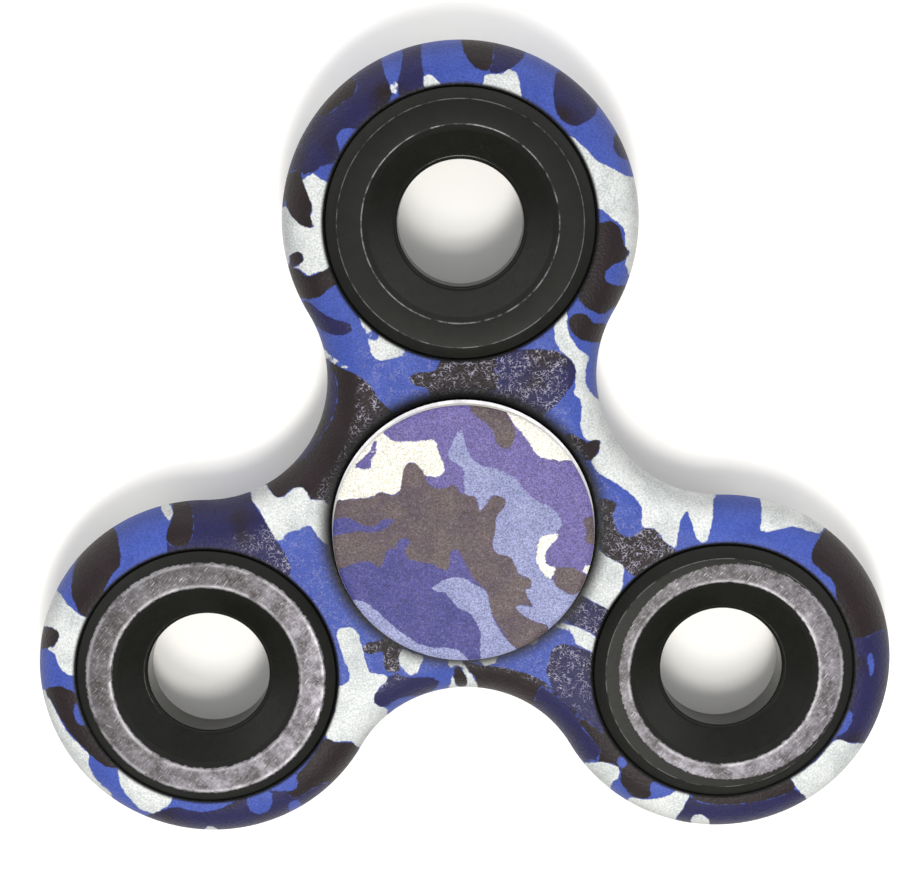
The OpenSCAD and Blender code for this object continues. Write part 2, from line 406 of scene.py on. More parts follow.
# Patches in the order they lie over each other: a colour, then its outline in millimetres from the spin axis
bodyPrint = {
    "filmPoint": (0, 34, 151),  # the film is stretched over the edges as if from here
    "patches": [
        # left neck and waist
        ("white", [(-18.8, 4.8), (-17.9, 3), (-17, 1.7), (-16.2, 0.1), (-15.5, -1), (-14.8, -0.2),
            (-13.8, 0.1), (-13, 0.7), (-12.6, 0.1), (-12, -0.8), (-11.2, -1.2), (-9.8, -0.8), (-9.5, 1.5),
            (-10.5, 2.8), (-13.5, 5), (-17, 5.5)]),
        ("brown", [(-11.9, 15.6), (-10.5, 14.1), (-9.3, 13.4), (-8.3, 12.9), (-7.5, 12.1), (-6.8, 10.9),
            (-5.8, 10), (-5, 8.6), (-8, 3), (-10.7, 2.1), (-11.8, 2.6), (-12.7, 2.6), (-13.3, 3.6),
            (-14.2, 3.6), (-15, 2.9), (-15.7, 2.9), (-16.4, 3.9), (-17.5, 5.5), (-14, 10), (-12.8, 13)]),
        ("navy", [(-12.2, 14.8), (-11, 13.9), (-10.3, 12.5), (-10.6, 10), (-12, 7.6), (-13.8, 5.8),
            (-15.6, 6.4), (-13.5, 10)]),
        ("white", [(-11.9, 15.9), (-11, 14.9), (-10, 14.2), (-9.1, 13.5), (-10, 13.8), (-11, 14.4),
            (-12.2, 15)]),
        # top lobe, left side
        ("white", [(-16, 29.6), (-12.8, 29.3), (-11.9, 29.6), (-11.4, 29.2), (-10.4, 28.4), (-10, 26),
            (-9.8, 22), (-10.4, 21.9), (-11.2, 21.8), (-12, 21.5), (-12.6, 21.4), (-13.4, 22),
            (-15.5, 22.6)]),
        ("navy", [(-16.5, 27), (-17, 36), (-10, 42), (-6.3, 41), (-6.2, 39), (-6.1, 38), (-5.7, 36.9),
            (-5.3, 35.8), (-7.2, 33.4), (-8.5, 33.1), (-9.2, 33.2), (-9.9, 32.7), (-9.8, 31.8), (-9.7, 31.1),
            (-10.4, 30.3), (-11.1, 30.3), (-11.6, 29.8), (-12.4, 29.6), (-13, 29.1), (-12.8, 28.4),
            (-12.2, 27.6), (-12, 26.8), (-12.2, 26.1), (-11.8, 25.5), (-12.5, 25.2), (-13.5, 25.9),
            (-14.1, 27)]),
        ("brown", [(-14.4, 29.2), (-13, 29.9), (-12.7, 28.9), (-12.2, 27.6), (-12, 26.8), (-12.2, 26.1),
            (-11.8, 25.5), (-12.5, 25.2), (-13.5, 25.9), (-14.1, 27)]),
        ("brown", [(-12.2, 35.4), (-10.8, 37.6), (-8.8, 37.5), (-8.2, 36.3), (-9.4, 35.2), (-10.9, 34.2)]),
        ("navy", [(-4.6, 41), (-3.1, 41), (-3, 38.6), (-2.8, 37.5), (-2.4, 35.8), (-5, 35.8), (-4.7, 37.5),
            (-4.5, 39)]),
        ("white", [(-5.5, 36.6), (-5.2, 36.9), (-4.9, 36.5), (-5, 35.9), (-5.5, 36)]),
        ("white", [(-2.85, 37.2), (-2.2, 37.3), (-1.6, 36.8), (-1.2, 36), (-2.5, 35.8)]),
        ("brown", [(-14.1, 22.8), (-13.4, 23.35), (-12.9, 23.1), (-12.8, 22.6), (-13.3, 22.2),
            (-13.8, 22.3)]),
        ("brown", [(-14.6, 22), (-13.4, 21.9), (-12.6, 21.3), (-12, 21.4), (-11.2, 21.8), (-10.2, 22.1),
            (-9.8, 20.9), (-10.8, 20.3), (-11.4, 19.7), (-12.3, 19.4), (-13, 19.5), (-13.9, 20)]),
        ("navy", [(-12.9, 19.4), (-11.8, 18.6), (-10.8, 17.9), (-10, 17.6), (-9.2, 17.4), (-8.8, 17),
            (-9.4, 16.5), (-10.2, 16.4), (-11, 16.6), (-11.9, 17.2), (-12.6, 18)]),
        ("white", [(-8.3, 18.2), (-7.7, 17.6), (-7.4, 16.7), (-7.1, 15.9), (-6.8, 16), (-6.8, 16.8),
            (-6.2, 16), (-5.4, 15.7), (-4.8, 15.2), (-4.7, 14.7), (-5.5, 14.5), (-6.4, 14.3), (-7.2, 14.5),
            (-7.6, 15.4), (-7.7, 16.3), (-8.3, 17.4)]),
        # top lobe, right side
        ("navy", [(0.1, 41.5), (0.3, 39.6), (0.9, 38.3), (2, 37.6), (3, 37.4), (4.2, 37.8), (5.3, 38.9),
            (5.5, 41)]),
        ("brown", [(0.1, 41.5), (0.3, 39.6), (0.9, 38.3), (2, 37.6), (2.6, 38), (2.8, 39.4), (2.4, 41)]),
        ("white", [(1.9, 36.4), (2.2, 37.3), (3.2, 37.3), (4.2, 37.7), (4.7, 37.2), (4.9, 36.3), (4.8, 35.2),
            (2.4, 35.6)]),
        ("navy", [(7.9, 37.5), (9, 37.2), (10, 36.3), (11.1, 34.9), (10.9, 34), (10, 33.4), (9.2, 33.2),
            (8.2, 33.7), (7.7, 34.8), (7.6, 36.2)]),
        ("navy", [(12.9, 32.8), (12.4, 31.8), (12.7, 30.9), (13.6, 30.4), (15, 30.2), (15, 32.4)]),
        ("white", [(8.6, 32.3), (10, 31.5), (11.1, 30.4), (12.3, 29.8), (13.6, 29.1), (16, 28.4), (16.5, 24),
            (14.6, 20), (13.4, 22.3), (13.4, 24.6), (12.4, 25.7), (11.4, 26.5), (9.8, 27.4)]),
        ("brown", [(10.9, 25.2), (12.4, 25.5), (13.1, 24.7), (13.3, 23.7), (13.8, 22.9), (13.3, 22.3),
            (12.3, 21.9), (11.8, 21.3), (11.9, 20.6), (12.8, 20.3), (13.8, 20.2), (13.2, 18.9), (12.2, 18.3),
            (11.5, 17.9), (10.9, 18.2), (10.2, 18.6), (9.6, 19.2), (9.9, 20.5), (10.3, 22), (10.6, 23.5)]),
        ("white", [(8.5, 18.9), (7.7, 17.6), (7.7, 16), (7.9, 15.2), (8.6, 14.6), (9.3, 13.8), (9.4, 12.3),
            (9.3, 11.3), (9.8, 10.8), (9.9, 9.6), (9.8, 8.6), (10.6, 7.2), (12.5, 7.6), (13, 9.5),
            (11.1, 11), (10.3, 12), (10.2, 13.4), (10.5, 14.5), (9.8, 14.9), (9.1, 15.8), (8.7, 17)]),
        ("brown", [(8.8, 17.4), (9.4, 18), (10.2, 18), (10.9, 17.2), (11.8, 17.1), (12.2, 15.8), (11, 15.6),
            (9.8, 15.9), (9, 16.6)]),
        # neck
        ("navy", [(-4.3, 12.7), (-4.2, 13.1), (-3.2, 13.3), (-2.2, 13.4), (-1.8, 14.2), (-2, 15), (0, 14.9),
            (3, 14.8), (4.5, 15.1), (7.4, 15), (8.7, 14.4), (9.4, 13.5), (9.3, 12.5), (8.6, 11.4),
            (7.6, 10.3), (6.9, 9.8), (6, 9), (0, 9.8), (-2.3, 10.8), (-2.8, 11.9), (-3.8, 12.1)]),
        ("brown", [(-4.3, 12.7), (-4.2, 13.1), (-3.2, 13.3), (-2.2, 13.4), (-1.8, 14.2), (-2, 15),
            (1.5, 14.9), (3.2, 14.2), (2.6, 13.2), (3.4, 12.2), (2, 11.4), (1, 9.8), (-2.3, 10.8),
            (-2.8, 11.9), (-3.8, 12.1)]),
        # right neck and waist
        ("white", [(10.6, 5.9), (11.3, 4.7), (12.3, 4.1), (13.3, 3.4), (14.3, 2.6), (15, 1.5), (14.9, 0.3),
            (15.4, -0.2), (16.2, -0.3), (16.8, -1.1), (17.6, -2.4), (18, -0.5), (18.2, 0.5), (18.7, 1.4),
            (19.1, 0.4), (19.6, -1.1), (20.3, -1.4), (20.7, -0.3), (20.9, 0.9), (20.9, 2), (21, 3.6),
            (18, 6), (15, 9.5), (11.4, 9), (11.2, 6.9)]),
        ("brown", [(8.4, 8), (9.3, 7.9), (10.3, 7.3), (10.9, 7.5), (11.5, 7.3), (11.3, 6.4), (10.8, 5.8),
            (10.2, 5.7), (9.8, 6.4), (9.1, 6.8)]),
        ("brown", [(11.2, 2.3), (12.2, 2.4), (12.9, 2), (12.5, 1.1), (12.7, 0.2), (13.3, -0.7), (14.3, -0.8),
            (15.2, -0.1), (16.1, -0.2), (16.6, -1), (17.5, -1.8), (18.2, -2.6), (17, -3.4), (16, -4),
            (15, -4.4), (14, -4), (13.2, -3.2), (12.3, -2.7), (11.5, -1.9), (11.3, -0.6), (11.6, 0.6)]),
        ("white", [(10.6, -0.6), (11.5, -2.1), (12.5, -2.8), (13.4, -3.3), (13.4, -4.3), (13.3, -5.3),
            (12.8, -6.3), (12.3, -7.4), (11.7, -7.4), (10.8, -6.6), (9.8, -5.9), (9, -5.6), (9.6, -3.4)]),
        ("white", [(7.6, -8), (8.6, -8.3), (9.9, -8.8), (11, -9.4), (11.4, -10.2), (11.1, -10.9),
            (10.2, -10.5), (9.4, -10), (9.2, -9.2), (8.5, -8.8), (7.7, -8.6)]),
        ("navy", [(7.6, -8.2), (8.7, -7.5), (9.4, -6.1), (9.9, -5.8), (10.8, -6.4), (12.4, -7.3),
            (12.6, -8.8), (11.6, -9.8), (10.9, -9.2), (9.9, -8.7), (8.6, -8.3)]),
        ("navy", [(7.4, -10.6), (8.2, -10.1), (9.4, -10.3), (10.8, -10.9), (11.8, -11.5), (11.8, -14),
            (12.6, -16.5), (14.4, -19), (13.4, -20.6), (12, -20.5), (10.5, -20.8), (8.5, -18.5),
            (6.5, -15.6), (7.3, -13.6), (6.9, -12.6), (7.2, -11.6)]),
        # right lobe
        ("white", [(25, 4), (25, 1), (24.9, -0.5), (25.5, -0.5), (26.5, -0.3), (27.8, -0.1), (29, -0.5),
            (29.8, -0.7), (30.3, -0.2), (31.5, 1), (28, 4)]),
        ("navy", [(31.6, 1.2), (30.3, -0.4), (29.8, -1.2), (29.3, -2.2), (29.3, -3.2), (30.2, -4),
            (31.2, -5), (31.6, -7), (32, -12), (31.4, -17), (31.6, -18.8), (32.7, -19.1), (33.9, -19.2),
            (36, -19.4), (39, -14), (38, -4), (34, 1)]),
        ("brown", [(31.6, 1.2), (30.3, -0.4), (29.8, -1.2), (29.3, -2.2), (29.3, -3.2), (30.2, -4),
            (31.2, -5), (31.6, -7), (32.6, -9.5), (34, -9.8), (35.4, -9.2), (38, -9.8), (38, -4), (34, 1)]),
        ("blue", [(34.2, -11.4), (34.6, -11.2), (34.8, -12.4), (34.6, -13.4), (34.3, -12.6)]),
        ("blue", [(31.6, -16.6), (32.6, -16.2), (33.1, -16.7), (32.8, -17.8), (32, -18.5), (31.4, -18)]),
        ("white", [(31.6, -18.9), (33, -19.2), (33.9, -19.2), (36, -19.3), (34.5, -22.5), (31, -25),
            (29.2, -24.1), (28.5, -23.2), (27.9, -22.2), (28.8, -21.7), (30.2, -20.6)]),
        ("navy", [(27.4, -21.9), (28.4, -23.2), (29.3, -24.1), (29.5, -26), (25, -27.6), (20, -27.5),
            (18.2, -26), (18.6, -24.8), (19.1, -23.8), (18.8, -22.9), (22, -23.3), (25, -22.9)]),
        ("brown", [(19.2, -23), (22, -23.4), (25, -23), (27.3, -22), (28.3, -23.2), (26, -24.2),
            (22.6, -24.6), (20, -24.3)]),
        ("white", [(14, -23.9), (15.4, -24.1), (16.4, -24), (17.5, -23.7), (18.4, -23.1), (19.1, -23),
            (19.2, -23.8), (18.7, -24.8), (18.2, -25.6), (17.4, -26.6), (14.5, -25.6)]),
        ("white", [(19.4, -26), (19.8, -25.5), (20.5, -25.6), (21, -26.2), (20.6, -27.4), (19.6, -27.2)]),
        ("brown", [(11.6, -15.2), (12.6, -16.8), (14, -18.9), (15.6, -20.6), (17, -22), (15.9, -22.6),
            (15.9, -23.7), (15.2, -24), (14.2, -23.7), (13.3, -22.4), (13.3, -21.4), (12.6, -20.8),
            (10.6, -20.4), (9.4, -18.6), (8.4, -16.8), (9.6, -16.6), (11, -17.4), (11.8, -18.4),
            (11.6, -17)]),
        ("blue", [(13.1, -20.2), (13.8, -20.4), (13.7, -21.1), (13.1, -21.1)]),
        ("white", [(9.6, -20.9), (10.8, -20.7), (12, -20.7), (13.1, -21.2), (13.1, -22), (12.5, -22.6),
            (12, -23.6), (9.5, -22.5)]),
        # bottom waist
        ("brown", [(-0.4, -11.2), (0.3, -11.6), (1.2, -11.9), (2.6, -12), (4, -12.3), (5.8, -12.9),
            (7, -13.6), (8.2, -15), (9.5, -16.2), (10.4, -17.6), (10.2, -19.6), (8.4, -18), (5, -15.5),
            (0.9, -14.4), (0.9, -13.1), (0.3, -12.3)]),
        ("navy", [(6.4, -13.9), (7.6, -14.6), (9, -16), (10.2, -17.8), (11.6, -19.6), (10.6, -20.4),
            (8.5, -18.6), (6, -16)]),
        ("white", [(-1.5, -11.6), (-0.9, -11.1), (-0.3, -11.4), (0.2, -12.3), (0.8, -13), (1, -14.2),
            (-0.3, -14.6), (-1.4, -14.2), (-1.1, -12.9), (-1, -12.2)]),
        ("brown", [(-0.95, -12.3), (-0.45, -11.9), (-0.1, -12.5), (0.25, -13.3), (-0.1, -13.8),
            (-0.8, -13.6)]),
        ("white", [(1.2, -11), (2, -11.1), (2.9, -10.9), (2.6, -11.7), (1.5, -11.9)]),
        ("white", [(5.2, -10), (6, -9.5), (6.5, -9.6), (6.1, -10.1)]),
        ("white", [(-10.8, -9), (-10.5, -8.5), (-9.8, -8.4), (-9.1, -8.8), (-8.8, -9.8), (-8.5, -11.2),
            (-8.1, -12.4), (-7.2, -12.6), (-6.5, -12.7), (-6.9, -13.4), (-7.6, -14.2), (-7.8, -15.1),
            (-7, -15.6), (-6.6, -15.8), (-7.2, -17.6), (-9, -19.6), (-9.6, -18.6), (-10.6, -18.5),
            (-11.5, -18.5), (-12.1, -18), (-11.7, -17), (-11.2, -15.8), (-11.1, -14.6), (-10.8, -13.7),
            (-10, -13.3), (-9.8, -12.4), (-10.2, -11.4), (-10.6, -10)]),
        ("brown", [(-12, -14.6), (-11.1, -15.2), (-11.2, -16.1), (-11.7, -17), (-12, -18), (-12.8, -17.6),
            (-12.6, -16)]),
        ("brown", [(-8.7, -10.2), (-8.2, -9.8), (-7.2, -9.7), (-6.8, -9.2), (-6.2, -9), (-5.4, -9.6),
            (-5.3, -10.6), (-5.5, -11.3), (-5.5, -12.2), (-5.9, -12.6), (-6.5, -12.6), (-6.9, -11.9),
            (-6.8, -11.2), (-7, -10.6), (-7.8, -10.8), (-8.4, -10.7)]),
        ("white", [(-5.3, -10.4), (-4.4, -10.8), (-3.5, -11), (-3.8, -11.9), (-4.1, -12.6), (-4.6, -12.8),
            (-5.1, -12.3), (-5.6, -11.6)]),
        ("navy", [(-7.8, -15), (-7.6, -14.2), (-6.8, -13.4), (-6.3, -12.6), (-5.5, -12.6), (-5, -12.9),
            (-3.9, -12.9), (-2.6, -13), (-2.2, -13.4), (-2.8, -14.1), (-4, -14.5), (-5.4, -14.7),
            (-6.2, -15.1), (-7, -15.6)]),
        # left lobe
        ("navy", [(-25.6, 3.4), (-22.5, 4.6), (-18.4, 4.4), (-17.6, 2.6), (-17, 1.5), (-16.3, 0.3),
            (-15.6, -1), (-14.9, -2.2), (-14.6, -3.2), (-15, -4.4), (-18, -3.4), (-21, -2.8), (-24.6, -2.6),
            (-24.9, -1.4), (-24.6, 0.4), (-24.2, 1.6)]),
        ("brown", [(-24.2, 2.6), (-22.9, 2.6), (-22.6, 0.6), (-23, -0.9), (-24.2, -1.3), (-24.9, -0.8),
            (-24.8, 0.2), (-24.3, 1.4)]),
        ("white", [(-25.3, 2.4), (-24.6, 2.4), (-24.3, 1.7), (-24.7, 0.9), (-25.1, 1.5)]),
        ("brown", [(-31.2, 1.6), (-29.3, 0.4), (-28.9, -1.3), (-28.9, -2.8), (-29.7, -3.8), (-30.3, -4.9),
            (-30.6, -6), (-31.4, -7.3), (-32.4, -7.1), (-32.9, -6), (-33.1, -4.8), (-32.9, -3.4),
            (-32.4, -2), (-31.8, -0.5)]),
        ("white", [(-35.8, -3.8), (-34.3, -5), (-33.4, -6.3), (-32.4, -7.2), (-31.4, -7.5), (-30.6, -8.2),
            (-31.6, -10), (-32.2, -12.4), (-33.8, -12.3), (-34.5, -11.5), (-35.1, -10.2), (-37.4, -9.8),
            (-37.6, -6.5)]),
        ("brown", [(-37.5, -8.3), (-35.4, -8.1), (-34.7, -8.3), (-34.3, -8.7), (-34.5, -9.4), (-35, -9.9),
            (-37.4, -10.2)]),
        ("white", [(-38, -13), (-35.9, -13.6), (-35.2, -15), (-34.7, -16.2), (-34, -17.5), (-33, -18.7),
            (-32.3, -19.5), (-32.4, -20.4), (-31.6, -22), (-30.4, -23.3), (-32.5, -24.5), (-37, -20)]),
        ("brown", [(-35.8, -13.7), (-34.5, -13.4), (-33.4, -13.9), (-32.7, -15), (-32.2, -16.6),
            (-31.5, -18), (-30.4, -19.3), (-29.2, -20.4), (-30.6, -20.7), (-31.8, -19.9), (-32.9, -18.7),
            (-33.9, -17.5), (-34.6, -16.2), (-35.2, -14.9)]),
        ("blue", [(-33.4, -15.1), (-32.9, -14.9), (-32.4, -15.8), (-32.3, -16.7), (-33, -16.8),
            (-33.4, -16.1)]),
        ("white", [(-29.8, -20.4), (-29, -20.8), (-28, -21.5), (-26.5, -22.2), (-25.4, -22.6),
            (-25.3, -23.4), (-25.6, -24.1), (-26.3, -24.5), (-27, -24.9), (-28, -24.5), (-28.8, -23.7),
            (-29.5, -22.8), (-29.8, -21.8)]),
        ("navy", [(-28.8, -25.9), (-27.4, -25), (-26.2, -24.6), (-24.9, -24.3), (-23.5, -24.7),
            (-21.9, -24.7), (-20.2, -24), (-19.2, -23.2), (-17, -22.6), (-14.6, -21.4), (-12.8, -19.8),
            (-12, -18.2), (-11.2, -18.7), (-10.3, -18.6), (-9.4, -18.9), (-8.4, -20.5), (-12, -25),
            (-17, -27.6), (-24, -28)]),
        ("brown", [(-13.4, -20.2), (-12, -18.2), (-11.2, -18.7), (-10.3, -18.6), (-9.4, -18.9),
            (-8.6, -20.5), (-10.4, -22), (-12.6, -22.4), (-14.6, -23.6), (-15.4, -22.6)]),
        ("blue", [(-18.8, -23.2), (-17.6, -22.8), (-16.7, -23.2), (-16.8, -24.3), (-17.5, -25),
            (-18.4, -24.9), (-18.8, -24.2)]),
        ("blue", [(-17, -22.4), (-15.6, -21.6), (-14.8, -21.2), (-14.5, -22), (-14.7, -22.8), (-16.2, -23)]),
        ("blue", [(-15.2, -24), (-14.4, -23.9), (-14.2, -24.5), (-15.2, -24.9)]),
        ("white", [(-22.7, -26.6), (-22.3, -26.1), (-21.9, -26.1), (-21.4, -26.7), (-22, -28)]),
    ],
}

capPrint = {
    "filmPoint": (0, 34, 151),
    "patches": [
        ("pale", [(-0.1, 9), (0.2, 7.7), (0.7, 6.5), (1.5, 5.9), (3, 5.4), (4.3, 4.7), (5, 3.8), (6.1, 2.8),
            (7.3, 2.2), (8.1, 1), (7.5, -0.3), (6.5, -2), (7, -3.5), (8.5, -4.5), (10.6, -4.9), (9.6, -7.6),
            (6.5, -9), (4, -6), (2, -1), (0.2, 3.2), (0.1, 5.3), (-0.5, 6), (-1.2, 6.6), (-0.8, 7.7)]),
        ("pale", [(-2.7, -4.6), (-2, -4), (-1, -3.6), (0, -3.7), (0.8, -4.2), (1.7, -4.7), (2.1, -5.5),
            (2.2, -6.5), (2.8, -7.9), (3.6, -9.1), (4.4, -10), (3.5, -12), (1.7, -12), (1.3, -9.8),
            (1.4, -8.5), (0.9, -7.3), (0.4, -6.6), (-0.4, -6.3), (-1, -5.6), (-1.6, -4.9)]),
        ("pale", [(-9.4, -5.6), (-8.2, -5.7), (-7.5, -6.2), (-6.8, -6.9), (-6, -7.6), (-5, -8.5), (-4, -9.2),
            (-2.6, -9.6), (-1.2, -9.7), (-0.2, -10.1), (0.4, -12), (-6, -12), (-11, -8)]),
        ("cream", [(-12.5, 2.4), (-10.3, 3), (-8.9, 3.2), (-7.6, 3.3), (-6.8, 3.7), (-5.8, 3.4), (-5.2, 3.8),
            (-4.4, 4.6), (-3.2, 4.9), (-1.9, 5), (-1.5, 5.5), (-1.8, 6.6), (-2.1, 7.2), (-2.3, 8),
            (-3.5, 7.9), (-5.5, 7.9), (-6.4, 8.5), (-7.4, 10), (-12, 8)]),
        ("base", [(-8.9, 5.8), (-8.2, 6.5), (-7.5, 7.3), (-7.1, 8.4), (-7, 7.2), (-7.5, 6.4), (-7.5, 5.5),
            (-8.1, 5.6)]),
        ("cream", [(3.4, 11.6), (3.8, 10), (4.2, 9.3), (4.9, 8.5), (5.6, 7.4), (6.2, 6.6), (7.2, 6.3),
            (8.2, 6.2), (9.4, 6.6), (9.4, 10)]),
        ("cream", [(6.2, -0.6), (6.6, -0.1), (7.4, 0), (8, 0.1), (7.5, -0.6), (7, -1.2), (6.7, -2),
            (7, -2.7), (7.7, -2.8), (7.5, -3.3), (7.4, -3.8), (6.8, -3.6), (6.3, -2.9), (6, -1.9)]),
        ("cream", [(9.7, -2.8), (10.3, -2.7), (12, -2.6), (12, -3.6), (10.3, -3.5)]),
        ("dark", [(-12.5, 2.6), (-10.4, 3), (-8.9, 3.1), (-7.6, 3.2), (-6.8, 3.7), (-5.8, 3.4), (-5.2, 3.8),
            (-5, 5.2), (-4.6, 6), (-3.9, 6.1), (-3.2, 5.3), (-2.9, 4.4), (-2.2, 3.9), (-1.4, 4), (-0.7, 4.2),
            (-0.3, 3.6), (0.4, 3.3), (1, 3.2), (1.2, 2.6), (1.4, 2), (1.9, 2.6), (2.3, 3.2), (2.8, 3.3),
            (3.5, 2.9), (3.3, 2.2), (2.7, 1.5), (2.6, 0.3), (2.4, -0.8), (2.7, -1.6), (3.8, -1.9),
            (4.3, -2.8), (4.6, -3.4), (5.5, -3.8), (5.5, -4.6), (5, -4.7), (5.3, -5.4), (5.7, -6.2),
            (4.9, -6), (4.2, -6.2), (5, -7), (6, -7.5), (7, -8), (6, -10), (4.3, -9.7), (3.6, -9), (3, -8),
            (2.4, -7), (2.1, -5.8), (1.9, -4.8), (1.1, -4), (0.5, -3.2), (0, -2.2), (-0.5, -1.3),
            (-1.1, -1.4), (-1.2, -2.6), (-1.5, -3), (-2.6, -2.5), (-3.8, -2.2), (-4.6, -1.9), (-5.1, -1.2),
            (-6.2, -1.1), (-6.6, -2), (-7, -2.7), (-8.3, -2.1), (-12.5, -3)]),
        ("base", [(-12.5, 1.2), (-10.8, 1.4), (-9.5, 1.6), (-8.5, 1), (-7.5, 0.8), (-6.5, 1.4), (-5.7, 1.3),
            (-6.3, 0.7), (-7.5, 0.3), (-9, 0.4), (-10.8, 0), (-12.5, -0.2)]),
        ("base", [(-5.6, -0.6), (-4.9, -0.2), (-4.4, -0.6), (-5, -1.3)]),
        ("dark", [(0.6, 12), (0.8, 10.2), (1.5, 9.7), (2.1, 9.2), (2.6, 8.5), (2.8, 7.6), (3.5, 7.2),
            (4.2, 7.7), (4.3, 8.6), (4, 9.5), (3.6, 10.3), (3.4, 12)]),
        ("dark", [(7.5, -3.1), (7.8, -2.8), (9, -2.9), (9.9, -3.4), (10.4, -3.9), (9.7, -4.8), (9, -5.2),
            (8.2, -4.8), (7.5, -4.2)]),
        ("dark", [(9.8, 1.3), (12, 1.3), (12, -0.9), (10.1, -0.7), (10.2, 0.3)]),
    ],
}


def smoothOutline(points, cuts=4):  # a closed curve through the points
    p1 = np.array(points, float)
    p0, p2, p3 = np.roll(p1, 1, 0), np.roll(p1, -1, 0), np.roll(p1, -2, 0)
    parts = []
    for k in range(cuts):
        t = k / cuts
        parts.append(0.5 * (2 * p1 + (p2 - p0) * t + (2 * p0 - 5 * p1 + 4 * p2 - p3) * t ** 2
                            + (3 * p1 - p0 - 3 * p2 + p3) * t ** 3))
    return np.stack(parts, 1).reshape(-1, 2)


def depthInside(xy, outline):  # distance to the outline, positive inside it
    ends = np.roll(outline, -1, 0)
    nearest = np.full(len(xy), 1e9)
    inside = np.zeros(len(xy), bool)
    for a, b in zip(outline, ends):
        run = b - a
        along = np.clip(((xy - a) @ run) / max(run @ run, 1e-12), 0, 1)
        nearest = np.minimum(nearest, np.hypot(*(xy - a - along[:, None] * run).T))
        crosses = (a[1] > xy[:, 1]) != (b[1] > xy[:, 1])
        if abs(run[1]) > 1e-12:
            inside ^= crosses & (xy[:, 0] < a[0] + (xy[:, 1] - a[1]) / run[1] * run[0])
    return np.where(inside, nearest, -nearest)


def printOn(piece, pattern, colours, face, backTurn=0):  # writes how deep each point lies inside each colour
    count = len(piece.data.vertices)
    places = np.empty(count * 3)
    piece.data.vertices.foreach_get("co", places)
    places = places.reshape(-1, 3) / mm
    film = np.array(pattern["filmPoint"], float)
    if backTurn:  # the same film, turned, lies on the back
        back = places[:, 2] < -0.01
        turn = radians(backTurn)
        flipped = places[back] * (-1, 1, -1)
        flipped[:, :2] = flipped[:, :2] @ np.array([[cos(turn), sin(turn)], [-sin(turn), cos(turn)]])
        places[back] = flipped
    share = (face / mm - places[:, 2]) / (film[2] - places[:, 2])
    xy = places[:, :2] + (film[:2] - places[:, :2]) * share[:, None]
    fields = np.full((count, 3), -5.0)
    for colour, points in pattern["patches"]:
        depth = depthInside(xy, smoothOutline(points))
        for k, name in enumerate(colours):
            layer = fields[:, k]
            fields[:, k] = np.maximum(layer, depth) if name == colour else np.minimum(layer, -depth)
    store = piece.data.attributes.new("print", "FLOAT_VECTOR", "POINT")
    store.data.foreach_set("vector", np.clip(fields, -5, 5).ravel())


printOn(body, bodyPrint, ["white", "brown", "navy"], halfBody, 120)
printOn(frontCap, capPrint, ["cream", "dark", "pale"], capTop)
printOn(backCap, capPrint, ["cream", "dark", "pale"], capTop, 60)
print("pattern printed")


# materials

def paint(code):  # a colour as the eye reads it, for a shader
    parts = [int(code[i:i + 2], 16) / 255 for i in (0, 2, 4)]
    return [c / 12.92 if c <= 0.04045 else ((c + 0.055) / 1.055) ** 2.4 for c in parts] + [1]


def add(tree, kind, settings=None, **inputs):  # a node, its settings, and its inputs as values or links
    node = tree.nodes.new("ShaderNode" + kind)
    for key, value in (settings or {}).items():
        setattr(node, key, value)
    for key, value in inputs.items():
        place = int(key[1:]) if key[0] == "i" and key[1:].isdigit() else key.replace("_", " ")
        socket = node.inputs[place]
        if isinstance(value, bpy.types.NodeSocket):
            tree.links.new(value, socket)
        else:
            socket.default_value = value
    return node


def mathOf(tree, operation, *values, clamp=False):
    settings = {"operation": operation, "use_clamp": clamp}
    return add(tree, "Math", settings, **{f"i{k}": v for k, v in enumerate(values)}).outputs[0]


def times(tree, *values):
    return mathOf(tree, "MULTIPLY", *values)


def plus(tree, *values):
    return mathOf(tree, "ADD", *values)


def minus(tree, *values):
    return mathOf(tree, "SUBTRACT", *values)


def sizeOf(tree, value):
    return mathOf(tree, "ABSOLUTE", value)


def most(tree, *values):
    return mathOf(tree, "MAXIMUM", *values)


def vectorOf(tree, operation, *values):
    node = add(tree, "VectorMath", {"operation": operation}, **{f"i{k}": v for k, v in enumerate(values)})
    return node.outputs["Value" if operation in ("LENGTH", "DOT_PRODUCT") else "Vector"]


def across(tree, place, centre=(0, 0, 0)):  # distance from an upright axis
    return vectorOf(tree, "LENGTH", vectorOf(
        tree, "MULTIPLY", vectorOf(tree, "SUBTRACT", place, centre), (1, 1, 0)))


def ramp(tree, value, low, high, fromLow=0.0, toHigh=1.0):  # smooth step between two values
    return add(tree, "MapRange", {"interpolation_type": "SMOOTHSTEP"}, Value=value, From_Min=low,
               From_Max=high, To_Min=fromLow, To_Max=toHigh).outputs[0]


def mix(tree, share, first, second, blend="MIX"):
    node = add(tree, "Mix", {"data_type": "RGBA", "blend_type": blend})
    for place, value in ((0, share), (6, first), (7, second)):
        if isinstance(value, bpy.types.NodeSocket):
            tree.links.new(value, node.inputs[place])
        else:
            node.inputs[place].default_value = value
    return node.outputs[2]


def noise(tree, vector, size, detail=2.0, rough=0.5):  # size is the width of a grain, in metres
    return add(tree, "TexNoise", Vector=vector, Scale=1 / size, Detail=detail, Roughness=rough).outputs[0]


def newGroup(name, inputs, outputs):
    tree = bpy.data.node_groups.new(name, "ShaderNodeTree")
    for title, kind in inputs:
        tree.interface.new_socket(title, in_out="INPUT", socket_type="NodeSocket" + kind)
    for title, kind in outputs:
        tree.interface.new_socket(title, in_out="OUTPUT", socket_type="NodeSocket" + kind)
    return tree, tree.nodes.new("NodeGroupInput"), tree.nodes.new("NodeGroupOutput")


